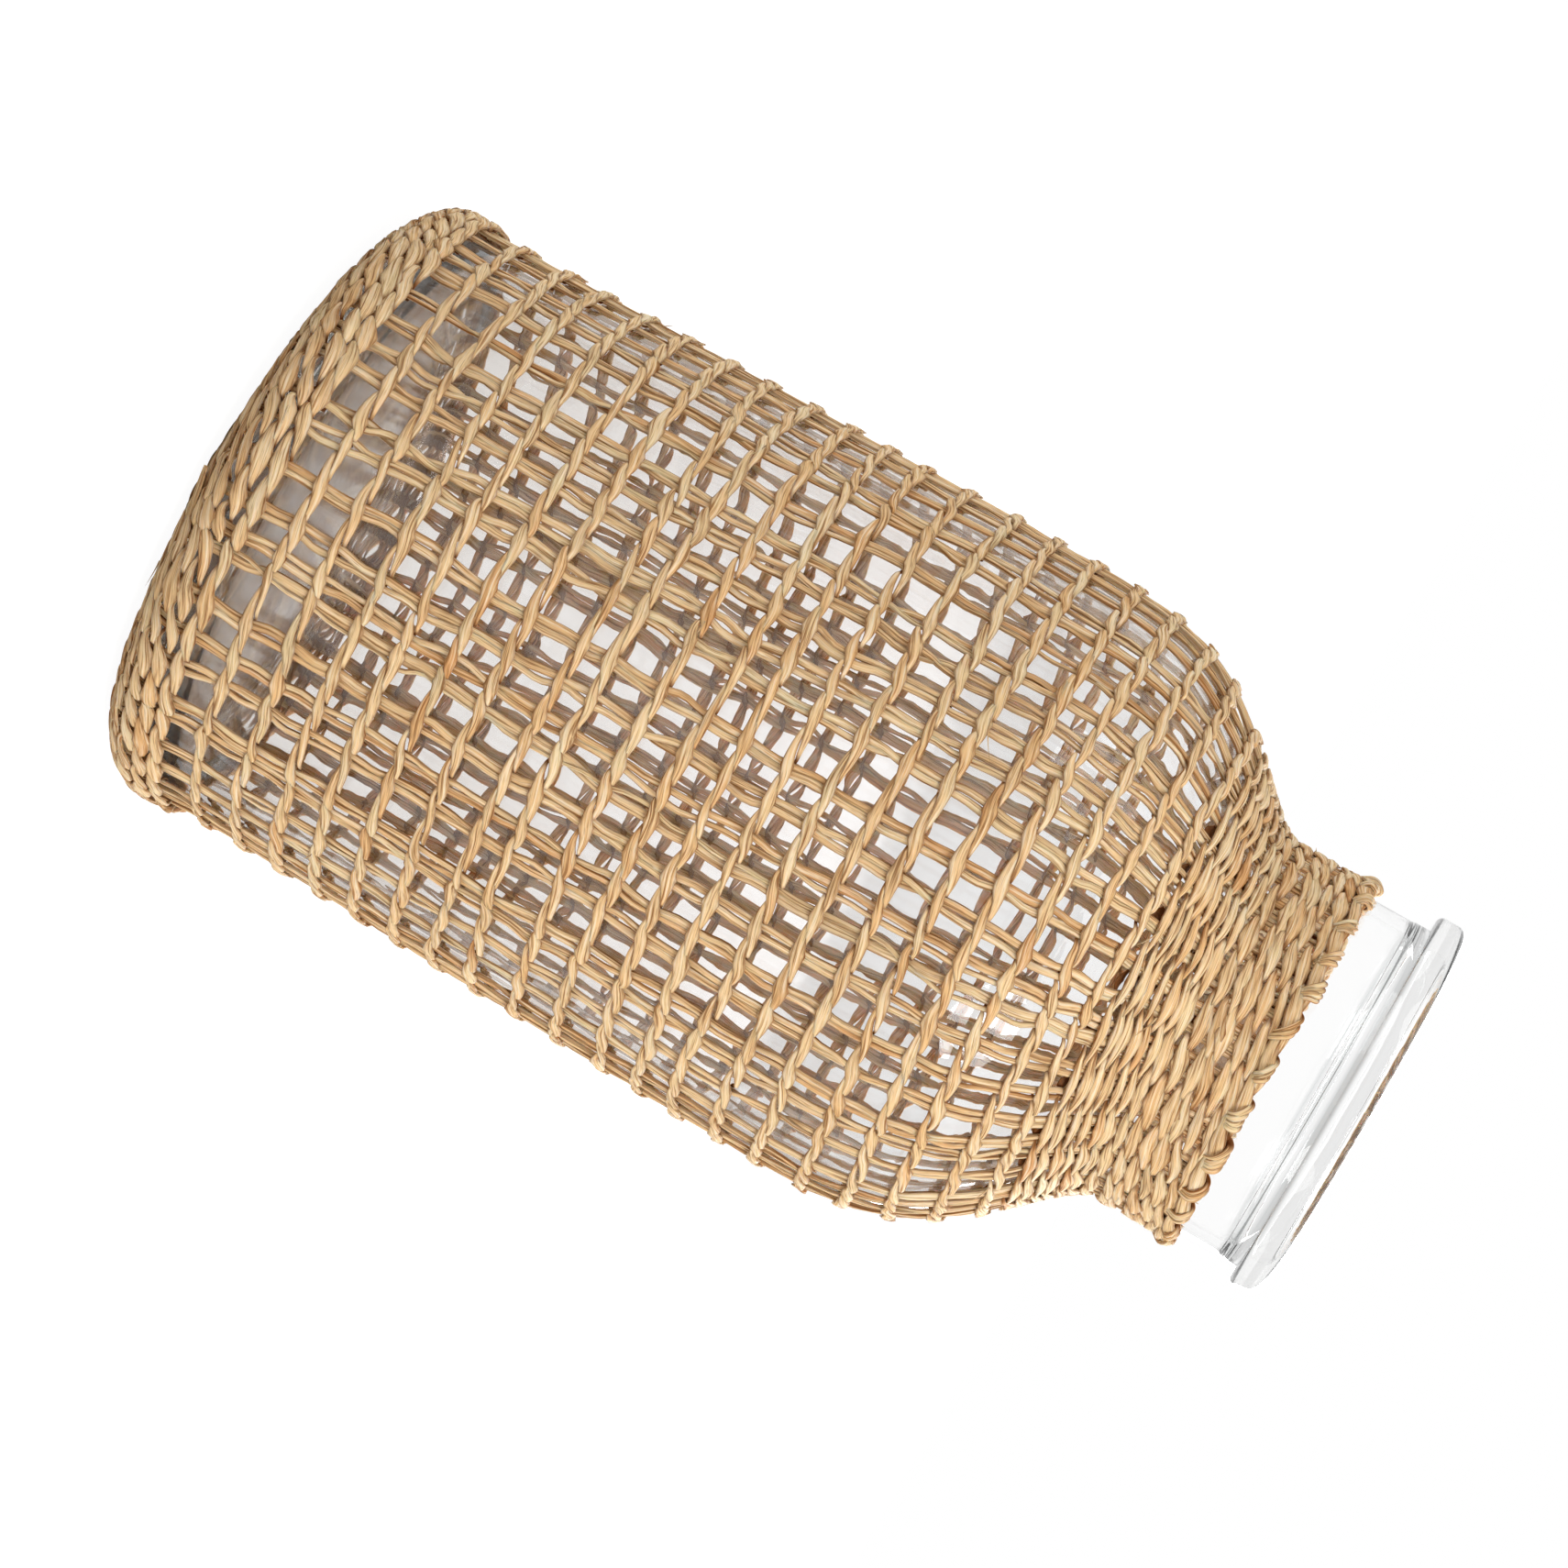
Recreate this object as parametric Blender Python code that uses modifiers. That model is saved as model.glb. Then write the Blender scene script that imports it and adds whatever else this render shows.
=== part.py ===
"""Glass bottle vase in a permanent open sleeve of twined plant fibre.

The bottle is turned glass. The sleeve is woven round it: upright stakes run out from
under the base, up the side and in over the shoulder, and twined weft rows go round them.
Metres, +Z up, origin on the floor at the middle of the base.
"""
import math

import bmesh
import bpy
import numpy as np

# Glass bottle. Heights are above the bottle's own underside, radii are outer ones.
BOTTLE_HEIGHT = 0.277
FOOT_RADIUS = 0.0515         # flat of the underside
HEEL_HEIGHT = 0.010          # rounding between underside and side wall
BODY_LOW_RADIUS = 0.0705
BODY_HIGH_RADIUS = 0.0733
NECK_LENGTH = 0.0415         # from the rim's top down to the shoulder
SHOULDER_DROP = 0.0867       # from the neck down to the straight body
SHOULDER_SKEW = 2.60         # 1 is an even S curve, more keeps the shoulder full for longer
NECK_RADIUS = 0.0419
BEAD_RADIUS = 0.0461
BEAD_HEIGHT = 0.0076
BEAD_SQUARENESS = 2.6        # 2 is a half round bead, more is squarer
LIP_ROUNDING = 0.0012
WALL = 0.003
FLOOR_THICKNESS = 0.010
INNER_HEEL_RADIUS = 0.014
INNER_HEEL_HEIGHT = 0.008

# Layers of the sleeve, from the glass outwards
FIT = 0.0003                 # clearance between neighbouring pieces
STAKE_THICKNESS = 0.0012
ROW_THICKNESS = 0.0015
BAND_THICKNESS = 0.0026       # the base band's rows are plumper than the rest

# Stakes: each is a pair of split strands, and each bundle starts as one fan under the base
BUNDLES = 18
STAKES_PER_BUNDLE = 3
STAKE_WIDTH = 0.0034
ROOT_RADIUS = 0.014

# Weft rows. Pitches and widths are measured along the sleeve's surface.
BAND_TOP = 0.0134            # height of the base band's top row above the bottle's underside
BAND_ROWS = 5
BAND_PITCH = 0.0038
OPEN_START = 0.0103          # from the base band's top row to the first open row
OPEN_ROWS = 20
OPEN_ROW_WIDTH = 0.0022
SHOULDER_GAP = 0.0059        # from the last open row to the first dense row
SHOULDER_ROWS = 6
SHOULDER_PITCH = 0.00295
NECK_ROWS = 6
NECK_PITCH = 0.0032
BORDER_BELOW_BEAD = 0.0140   # bare glass between the sleeve's border and the bead
BORDER_HEIGHT = 0.0042
BORDER_THICKNESS = 0.0040
ROW_FILL = 0.80              # share of a dense row's pitch that its inner face covers
ROW_CROWN = 0.50             # width of a row's outer face over that of its inner face

# Facets round the axis
GLASS_FACETS = 40
ROW_FACETS = 30
MAT_FACETS = 36
MERGE_DISTANCE = 0.00001

STAKE_LAYER = FIT                                    # glass to the stakes' inner face
ROW_LAYER = STAKE_LAYER + STAKE_THICKNESS + FIT      # glass to the rows' inner face
SLEEVE_THICKNESS = ROW_LAYER + ROW_THICKNESS
SEAT = SLEEVE_THICKNESS                              # the bottle's underside above the floor
STAKE_COUNT = BUNDLES * STAKES_PER_BUNDLE
STAKE_STEP = 2 * math.pi / STAKE_COUNT
NECK_START = BOTTLE_HEIGHT - NECK_LENGTH
SHOULDER_START = NECK_START - SHOULDER_DROP
BEAD_START = BOTTLE_HEIGHT - BEAD_HEIGHT
BORDER_TOP = BEAD_START - BORDER_BELOW_BEAD
BORDER_BOTTOM = BORDER_TOP - BORDER_HEIGHT

# Where the outline has corners that every layer shares, as shares of heel and shoulder
HEEL_STATIONS = (0.0, 0.36, 0.68, 1.0)
SHOULDER_STATIONS = (0.0, 0.38, 0.53, 0.64, 0.74, 0.87, 0.925, 0.967, 1.0)

GLASS = ("clear_glass", (0.93, 0.96, 0.95), 0.03, 0.95)
STAKE_FIBRE = ("split_stake_fibre", (0.60, 0.42, 0.22), 0.62, 0.0)
WEFT_FIBRE = ("twined_weft_fibre", (0.68, 0.50, 0.28), 0.60, 0.0)
BORDER_FIBRE = ("border_braid_fibre", (0.66, 0.47, 0.25), 0.60, 0.0)
MAT_FIBRE = ("woven_base_fibre", (0.58, 0.41, 0.22), 0.66, 0.0)


def heel_point(share):
    """Radius and height on the heel, an ellipse from the underside (0) to the side (1)."""
    angle = share * math.pi / 2
    reach = BODY_LOW_RADIUS - FOOT_RADIUS
    return FOOT_RADIUS + reach * math.sin(angle), HEEL_HEIGHT * (1 - math.cos(angle))


def shoulder_point(share):
    """Radius and height on the shoulder, an S curve from the body (0) to the neck (1)."""
    bend = share ** SHOULDER_SKEW
    drop = bend * bend * (3 - 2 * bend)
    radius = BODY_HIGH_RADIUS - (BODY_HIGH_RADIUS - NECK_RADIUS) * drop
    return radius, SHOULDER_START + (NECK_START - SHOULDER_START) * share


def bottle_outline():
    """The bottle's outer line from the axis to the bead, finely sampled, with its length."""
    points = [(0.0, 0.0)]
    points += [heel_point(share) for share in np.linspace(0, 1, 61)]
    points += [shoulder_point(share) for share in np.linspace(0, 1, 241)]
    points.append((NECK_RADIUS, BEAD_START))
    line = np.array(points)
    length = np.concatenate([[0], np.cumsum(np.hypot(*np.diff(line, axis=0).T))])
    return line, length


OUTLINE, OUTLINE_LENGTH = bottle_outline()


def outward_normals():
    """Unit normals of the outline's points, pointing away from the glass."""
    ahead = np.diff(OUTLINE, axis=0)
    ahead /= np.hypot(*ahead.T)[:, None]
    tangents = np.vstack([ahead[:1], ahead[:-1] + ahead[1:], ahead[-1:]])
    tangents /= np.hypot(*tangents.T)[:, None]
    return np.column_stack([tangents[:, 1], -tangents[:, 0]])


NORMALS = outward_normals()


def on_layer(length, out):
    """Radius, height above the floor and normal at a length along the outline, moved out."""
    radius, height = (np.interp(length, OUTLINE_LENGTH, OUTLINE[:, i]) for i in (0, 1))
    normal = np.array([np.interp(length, OUTLINE_LENGTH, NORMALS[:, i]) for i in (0, 1)])
    normal /= math.hypot(*normal)
    return radius + out * normal[0], SEAT + height + out * normal[1], normal


def length_at_height(height):
    """Length along the outline at a height above the bottle's underside, past the foot."""
    return float(np.interp(height, OUTLINE[1:, 1], OUTLINE_LENGTH[1:]))


def layer_scale():
    """Lengths along the rows' middle layer at each outline point."""
    middle = OUTLINE + (ROW_LAYER + ROW_THICKNESS / 2) * NORMALS
    return np.concatenate([[0], np.cumsum(np.hypot(*np.diff(middle, axis=0).T))])


ROW_LENGTH = layer_scale()


def along_rows(length):
    """Length along the rows' layer at a length along the outline."""
    return float(np.interp(length, OUTLINE_LENGTH, ROW_LENGTH))


def from_rows(row_length):
    """Length along the outline at a length along the rows' layer."""
    return float(np.interp(row_length, ROW_LENGTH, OUTLINE_LENGTH))


def shared_stations():
    """Lengths along the outline of the corners that glass and stakes share."""
    heights = [heel_point(share)[1] for share in HEEL_STATIONS]
    heights += [shoulder_point(share)[1] for share in SHOULDER_STATIONS]
    return [length_at_height(height) for height in heights]


def row_lengths():
    """Lengths along the rows' layer of every weft row, by group, worked out from both ends."""
    neck_top = along_rows(length_at_height(BORDER_BOTTOM)) - FIT - NECK_PITCH / 2
    neck = [neck_top - i * NECK_PITCH for i in reversed(range(NECK_ROWS))]
    shoulder_top = neck[0] - (NECK_PITCH + SHOULDER_PITCH) / 2
    shoulder = [shoulder_top - i * SHOULDER_PITCH for i in reversed(range(SHOULDER_ROWS))]
    band_top = along_rows(length_at_height(BAND_TOP))
    band = [band_top - i * BAND_PITCH for i in range(BAND_ROWS)]
    opened = np.linspace(band_top + OPEN_START, shoulder[0] - SHOULDER_GAP, OPEN_ROWS)
    return {"base_band_row": band, "open_row": list(opened),
            "shoulder_row": shoulder, "neck_row": neck}


def material_of(finish):
    """The Principled material of a finish, made once."""
    name, colour, roughness, transmission = finish
    material = bpy.data.materials.get(name)
    if material is None:
        material = bpy.data.materials.new(name)
        material.use_nodes = True
        shader = material.node_tree.nodes["Principled BSDF"]
        shader.inputs["Base Color"].default_value = (*colour, 1)
        shader.inputs["Roughness"].default_value = roughness
        shader.inputs["Metallic"].default_value = 0
        shader.inputs["Transmission Weight"].default_value = transmission
    return material


def add_object(name, mesh, finish, collection):
    """Put a mesh in the scene as a named part."""
    part = bpy.data.objects.new(name, mesh)
    mesh.materials.append(material_of(finish))
    collection.objects.link(part)
    return part


def turned(name, points, facets, finish, collection, closed=False):
    """A turned part. Its points, radius and height, run down the outer side."""
    mesh = bpy.data.meshes.new(name)
    count = len(points)
    edges = [(i, i + 1) for i in range(count - 1)]
    if closed:
        edges.append((count - 1, 0))
    mesh.from_pydata([(radius, 0, height) for radius, height in points], edges, [])
    part = add_object(name, mesh, finish, collection)
    screw = part.modifiers.new("turn", "SCREW")
    screw.angle = 2 * math.pi
    screw.steps = screw.render_steps = facets
    screw.use_merge_vertices = True
    screw.merge_threshold = MERGE_DISTANCE
    screw.use_smooth_shade = not closed
    return part


def bead_points():
    """The rim bead's outer line, from its top on the wall's outside down to the neck."""
    half = BEAD_HEIGHT / 2
    middle = SEAT + BOTTLE_HEIGHT - half
    points = []
    for angle in np.radians(np.linspace(90, -90, 9)):
        out = abs(math.cos(angle)) ** (2 / BEAD_SQUARENESS)
        up = math.copysign(abs(math.sin(angle)) ** (2 / BEAD_SQUARENESS), math.sin(angle))
        points.append((NECK_RADIUS + (BEAD_RADIUS - NECK_RADIUS) * out, middle + half * up))
    return points


def glass_bottle(collection):
    """The bottle: inner floor, inner heel, wall, rounded lip, bead, outside and foot."""
    inner_floor = SEAT + FLOOR_THICKNESS
    heel_top = inner_floor + INNER_HEEL_HEIGHT
    side = [on_layer(length, -WALL)[:2] for length in shared_stations()[len(HEEL_STATIONS):]]
    body_low = on_layer(length_at_height(HEEL_HEIGHT), -WALL)[:2]
    rise = (heel_top - body_low[1]) / (side[0][1] - body_low[1])
    heel_radius = body_low[0] + (side[0][0] - body_low[0]) * rise
    points = [(0.0, inner_floor)]
    for angle in np.radians((0, 30, 60, 90)):
        points.append((heel_radius - INNER_HEEL_RADIUS * (1 - math.sin(angle)),
                       heel_top - INNER_HEEL_HEIGHT * math.cos(angle)))
    points += side
    top = SEAT + BOTTLE_HEIGHT
    bore = NECK_RADIUS - WALL
    points += [(bore, top - LIP_ROUNDING), (bore + LIP_ROUNDING, top)]
    points += bead_points()
    points += [on_layer(length, 0)[:2] for length in reversed(shared_stations())]
    points.append((0.0, SEAT))
    return turned("glass_bottle", points, GLASS_FACETS, GLASS, collection)


def clear_of_facets(radius, facets):
    """The corner radius of a ring whose flats stay outside a radius."""
    return radius / math.cos(math.pi / facets)


def weft_row(name, row_length, width, thickness, collection):
    """One weft row: a flattened ring with its flat inner face against the stakes."""
    length = from_rows(row_length)
    radius, height, normal = on_layer(length, ROW_LAYER)
    up_along = np.array([-normal[1], normal[0]])
    crown = ROW_CROWN * width / 2
    corners = ((thickness, crown), (thickness, -crown), (0, -width / 2), (0, width / 2))
    points = []
    for out, up in corners:
        place = np.array([radius, height]) + out * normal + up * up_along
        points.append((clear_of_facets(place[0], ROW_FACETS), place[1]))
    return turned(name, points, ROW_FACETS, WEFT_FIBRE, collection, closed=True)


def border_braid(collection):
    """The braid that locks the stakes at the neck: a rounded ring round the glass."""
    middle = SEAT + BORDER_BOTTOM + BORDER_HEIGHT / 2
    radius = NECK_RADIUS + FIT + BORDER_THICKNESS / 2
    points = []
    for angle in np.radians((60, 0, -60, -120, -180, -240)):
        place = radius + BORDER_THICKNESS / 2 * math.cos(angle)
        rise = BORDER_HEIGHT / 2 * math.sin(angle) / math.sin(math.radians(60))
        points.append((clear_of_facets(place, ROW_FACETS), middle + rise))
    return turned("border_braid", points, ROW_FACETS, BORDER_FIBRE, collection, closed=True)


def woven_base(last_band_row, collection):
    """The woven mat that the vase stands on, up to the lowest row of the base band."""
    edge = from_rows(last_band_row - ROW_FILL * BAND_PITCH / 2 - FIT)
    foot = length_at_height(0)
    stops = [foot, (foot + edge) / 2, edge] if edge > foot else [edge]
    inner = [on_layer(stop, ROW_LAYER)[:2] for stop in stops]
    outer = [on_layer(stop, SLEEVE_THICKNESS)[:2] for stop in reversed(stops)]
    around = [(clear_of_facets(radius, MAT_FACETS), height) for radius, height in inner + outer]
    points = [(0.0, SEAT - ROW_LAYER), *around, (0.0, 0.0)]
    return turned("woven_base", points, MAT_FACETS, MAT_FIBRE, collection)


def stake_bundle(index, collection):
    """One bundle: a fan under the base that splits into stakes up to the border."""
    middle = index * STAKES_PER_BUNDLE * STAKE_STEP
    sides = [slot - (STAKES_PER_BUNDLE - 1) / 2 for slot in range(STAKES_PER_BUNDLE)]
    split = (STAKE_WIDTH + FIT) / (2 * math.sin(STAKE_STEP / 2))
    lengths = [split, *shared_stations()]
    lengths.append(length_at_height(BORDER_BOTTOM) - FIT)

    shape = bmesh.new()

    def corner(radius, height, angle, across):
        x = radius * math.cos(angle) - across * math.sin(angle)
        y = radius * math.sin(angle) + across * math.cos(angle)
        return shape.verts.new((x, y, height))

    def ribbon_row(length):
        """The stakes' corners at a length along the outline, left to right."""
        radius, height, _ = on_layer(length, STAKE_LAYER)
        return [corner(radius, height, middle + side * STAKE_STEP, edge * STAKE_WIDTH / 2)
                for side in sides for edge in (-1, 1)]

    rows = [ribbon_row(length) for length in lengths]
    reach = STAKES_PER_BUNDLE * STAKE_STEP / 2
    root_half = ROOT_RADIUS * math.tan(reach) - FIT / 2 / math.cos(reach)
    split_half = split * math.tan(reach) - FIT / 2 / math.cos(reach)
    spread = [side * 2 * split * math.sin(STAKE_STEP / 2) + edge * STAKE_WIDTH / 2
              for side in sides for edge in (-1, 1)]
    height = SEAT - STAKE_LAYER
    root = [corner(ROOT_RADIUS, height, middle, across * root_half / split_half)
            for across in spread]
    for left in range(len(root) - 1):
        shape.faces.new((root[left], root[left + 1], rows[0][left + 1], rows[0][left]))
    for lower, upper in zip(rows, rows[1:]):
        for left in range(0, len(lower), 2):
            shape.faces.new((lower[left], lower[left + 1], upper[left + 1], upper[left]))
    for face in shape.faces:
        face.smooth = True
    name = f"stake_bundle_{index + 1:02d}"
    mesh = bpy.data.meshes.new(name)
    shape.to_mesh(mesh)
    shape.free()
    part = add_object(name, mesh, STAKE_FIBRE, collection)
    wall = part.modifiers.new("strand thickness", "SOLIDIFY")
    wall.thickness = STAKE_THICKNESS
    wall.offset = 1
    wall.use_even_offset = True
    return part


def main():
    for thing in list(bpy.data.objects):
        bpy.data.objects.remove(thing, do_unlink=True)
    collection = bpy.data.collections.new("rattan_wrapped_vase")
    bpy.context.scene.collection.children.link(collection)

    glass_bottle(collection)
    for index in range(BUNDLES):
        stake_bundle(index, collection)
    widths = {"base_band_row": ROW_FILL * BAND_PITCH, "open_row": OPEN_ROW_WIDTH,
              "shoulder_row": ROW_FILL * SHOULDER_PITCH, "neck_row": ROW_FILL * NECK_PITCH}
    groups = row_lengths()
    for group, lengths in groups.items():
        thickness = BAND_THICKNESS if group == "base_band_row" else ROW_THICKNESS
        for number, row_length in enumerate(lengths, 1):
            weft_row(f"{group}_{number:02d}", row_length, widths[group], thickness, collection)
    border_braid(collection)
    woven_base(groups["base_band_row"][-1], collection)


main()
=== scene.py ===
import math

import bpy
import numpy as np
from mathutils import Matrix, Vector


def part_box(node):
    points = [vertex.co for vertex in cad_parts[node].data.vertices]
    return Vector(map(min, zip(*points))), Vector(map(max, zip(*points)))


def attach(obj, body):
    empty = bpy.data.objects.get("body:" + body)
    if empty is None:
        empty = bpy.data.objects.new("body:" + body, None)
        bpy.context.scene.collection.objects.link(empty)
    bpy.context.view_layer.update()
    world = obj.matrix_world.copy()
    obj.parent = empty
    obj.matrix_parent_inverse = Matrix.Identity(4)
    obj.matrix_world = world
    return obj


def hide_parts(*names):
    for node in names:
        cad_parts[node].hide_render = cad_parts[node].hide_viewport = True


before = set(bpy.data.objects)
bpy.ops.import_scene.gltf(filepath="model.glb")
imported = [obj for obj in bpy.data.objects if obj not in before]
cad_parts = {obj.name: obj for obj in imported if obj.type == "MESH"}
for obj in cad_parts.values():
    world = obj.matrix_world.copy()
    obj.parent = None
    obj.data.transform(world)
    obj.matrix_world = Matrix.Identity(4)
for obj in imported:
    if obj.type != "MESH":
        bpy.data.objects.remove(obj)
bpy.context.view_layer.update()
print("frame loaded:", len(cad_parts), "nodes")

mm = 0.001
rng = np.random.default_rng(20)

# Camera: a long lens about a metre away, level with the vase's neck, turned as the photograph is
view = dict(distance=1.080, height=0.246, aside=0.0008, tiltDown=5.912, roll=120.16,
            lens=112.951, sensor=36, clipEnd=60)


def makeCamera(look):
    data = bpy.data.cameras.new("photo camera")
    data.lens, data.sensor_width, data.clip_end = look["lens"], look["sensor"], look["clipEnd"]
    camera = bpy.data.objects.new("photo camera", data)
    bpy.context.scene.collection.objects.link(camera)
    tilt = Matrix.Rotation(math.radians(90 - look["tiltDown"]), 4, "X")
    roll = Matrix.Rotation(math.radians(look["roll"]), 4, "Z")
    place = Matrix.Translation((look["aside"], -look["distance"], look["height"]))
    camera.matrix_world = place @ (tilt @ roll)
    bpy.context.scene.camera = camera


makeCamera(view)
print("camera placed")


# Colours and nodes

def linear(code):
    # sRGB hex to linear: c / 12.92 under 0.04045, else ((c + 0.055) / 1.055) ^ 2.4
    parts = [int(code[i:i + 2], 16) / 255 for i in (1, 3, 5)]
    return (*[c / 12.92 if c <= 0.04045 else ((c + 0.055) / 1.055) ** 2.4 for c in parts], 1.0)


def addNode(tree, kind, inputs=None, stops=None, **settings):
    # a value that is a socket is linked, and any other is set; a new ramp already has its first two stops
    node = tree.nodes.new("ShaderNode" + kind)
    for key, value in settings.items():
        setattr(node, key, value)
    for key, value in (inputs or {}).items():
        if isinstance(value, bpy.types.NodeSocket):
            tree.links.new(value, node.inputs[key])
        else:
            node.inputs[key].default_value = value
    for place, (at, code) in enumerate(stops or []):
        element = node.color_ramp.elements[place] if place < 2 else node.color_ramp.elements.new(at)
        element.position, element.color = at, linear(code)
    return node


def newMaterial(name):
    material = bpy.data.materials.new(name)
    material.use_nodes = True
    material.node_tree.nodes.clear()
    return material, material.node_tree


# Bottle outline: flat foot, quarter ellipse heel, straight side, S curved shoulder, straight neck
bottle = dict(
    footRadius=0.0515, heelHeight=0.010, lowRadius=0.0705, highRadius=0.0733,
    shoulderStart=0.1488, neckStart=0.2355, shoulderSkew=2.60, neckRadius=0.0419,
    beadRadius=0.0461, beadHeight=0.0076, beadCorner=0.0030, beadEdge=0.0016,
    stepDrop=0.0034, stepOut=0.00028, stepEase=1.5 * mm, lipRounding=0.0016, lipDepth=6 * mm, wall=0.003,
    floorThickness=0.010, floorDome=0.9 * mm, innerHeelRadius=0.014, innerHeelHeight=0.008,
    facets=192, wave=0.00005, waveAbove=30 * mm, pointEvery=5 * mm, turnEvery=1.5)
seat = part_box("glass_bottle")[0].z
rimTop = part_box("glass_bottle")[1].z

# The sleeve stands off the glass at the base band: a flare all round, a sag at the front right and a corner
# at the front. Each has its place and spread, in metres along the outline and in radians round the vase.
sleeve = dict(flare=0.9 * mm, flareAt=(0.068, 0.012),
              sag=2.2 * mm, sagAt=(0.063, 0.010), sagAngle=-0.65, sagTurn=0.70,
              corner=3.0 * mm, cornerAt=(0.058, 0.006), cornerTurn=(-0.85, 0.20))


def bottleOutline(look):
    # shoulder: r = high - (high - neck)(3b^2 - 2b^3) with b = share^skew, height straight with share
    foot = np.linspace(0, look["footRadius"], 60, endpoint=False)
    turn = np.linspace(0, np.pi / 2, 60, endpoint=False)
    side = np.linspace(look["heelHeight"], look["shoulderStart"], 160, endpoint=False)
    share = np.linspace(0, 1, 240)
    bend = share ** look["shoulderSkew"]
    drop = bend * bend * (3 - 2 * bend)
    neck = np.linspace(look["neckStart"], rimTop - seat - look["beadHeight"], 40)[1:]
    radius = np.concatenate([
        foot, look["footRadius"] + (look["lowRadius"] - look["footRadius"]) * np.sin(turn),
        np.interp(side, (side[0], look["shoulderStart"]), (look["lowRadius"], look["highRadius"])),
        look["highRadius"] - (look["highRadius"] - look["neckRadius"]) * drop,
        np.full(len(neck), look["neckRadius"])])
    height = np.concatenate([
        foot * 0, look["heelHeight"] * (1 - np.cos(turn)), side,
        look["shoulderStart"] + (look["neckStart"] - look["shoulderStart"]) * share, neck])
    return np.column_stack([radius, height])


outline = bottleOutline(bottle)
outlineLength = np.concatenate([[0], np.cumsum(np.hypot(*np.diff(outline, axis=0).T))])
slope = np.gradient(outline, outlineLength, axis=0)
slope /= np.hypot(*slope.T)[:, None]
outlineNormal = np.column_stack([slope[:, 1], -slope[:, 0]])


def alongOutline(values, length):
    # one of the outline's columns, read at this length along it
    return np.interp(length, outlineLength, values)


def bump(values, middle, spread):
    # e^-((v - middle) / spread)^2
    return np.exp(-((values - middle) / spread) ** 2)


def flare(angle, length):
    # flare bump(length) + sag bump(length) bump(turn) + corner bump(length) bump(turn), turn from the sag
    turn = (angle - sleeve["sagAngle"] + np.pi) % (2 * np.pi) - np.pi
    return (sleeve["flare"] * bump(length, *sleeve["flareAt"])
            + sleeve["sag"] * bump(length, *sleeve["sagAt"]) * bump(turn, 0, sleeve["sagTurn"])
            + sleeve["corner"] * bump(length, *sleeve["cornerAt"]) * bump(turn, *sleeve["cornerTurn"]))


def onBottle(angle, length, out):
    # the point at an angle and a length along the outline, moved out along its normal and by the flare
    radius = alongOutline(outline[:, 0], length) + out * alongOutline(outlineNormal[:, 0], length)
    radius = radius + flare(angle, length)
    height = alongOutline(outline[:, 1], length) + out * alongOutline(outlineNormal[:, 1], length)
    return np.stack([radius * np.cos(angle), radius * np.sin(angle), seat + height], -1)


def outward(angle, length):
    # the outline's normal turned to this angle
    flat = alongOutline(outlineNormal[:, 0], length)
    rise = alongOutline(outlineNormal[:, 1], length)
    return np.stack([flat * np.cos(angle), flat * np.sin(angle), rise], -1)


def lengthAtHeight(z, out):
    # past the foot, the length whose layer at this distance from the glass is at height z
    past = outline[:, 1] > 0
    height = seat + outline[past, 1] + out * outlineNormal[past, 1]
    return float(np.interp(z, height, outlineLength[past]))


# Strand sweep: a folded flat section carried along a path on the bottle
section = dict(
    widthPower=0.75, thickPower=0.7,             # under 1 is squarer than an ellipse
    crown=1.12, slope=0.42,                      # thick at the fold line, and thinner away from it
    grooveAside=0.45, grooveWidth=0.22,          # the narrow groove beside the fold
    # painted shade: the split edges are painted browner, partly their own colour and partly shade, and the
    # inner side gets a fixed depth for the painted recess shade
    edgePower=3, pithEdge=0.2, pithDeep=0.12,    # brown along the split edges, less so on the inner side
    lowest=0.05 * mm)                            # pressed flat where it rests on the table


def unit(vectors):
    # each vector over its own length
    return vectors / np.linalg.norm(vectors, axis=-1, keepdims=True)


def power(values, exponent):
    # |v|^exponent with the sign of v
    return np.sign(values) * np.abs(values) ** exponent


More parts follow.
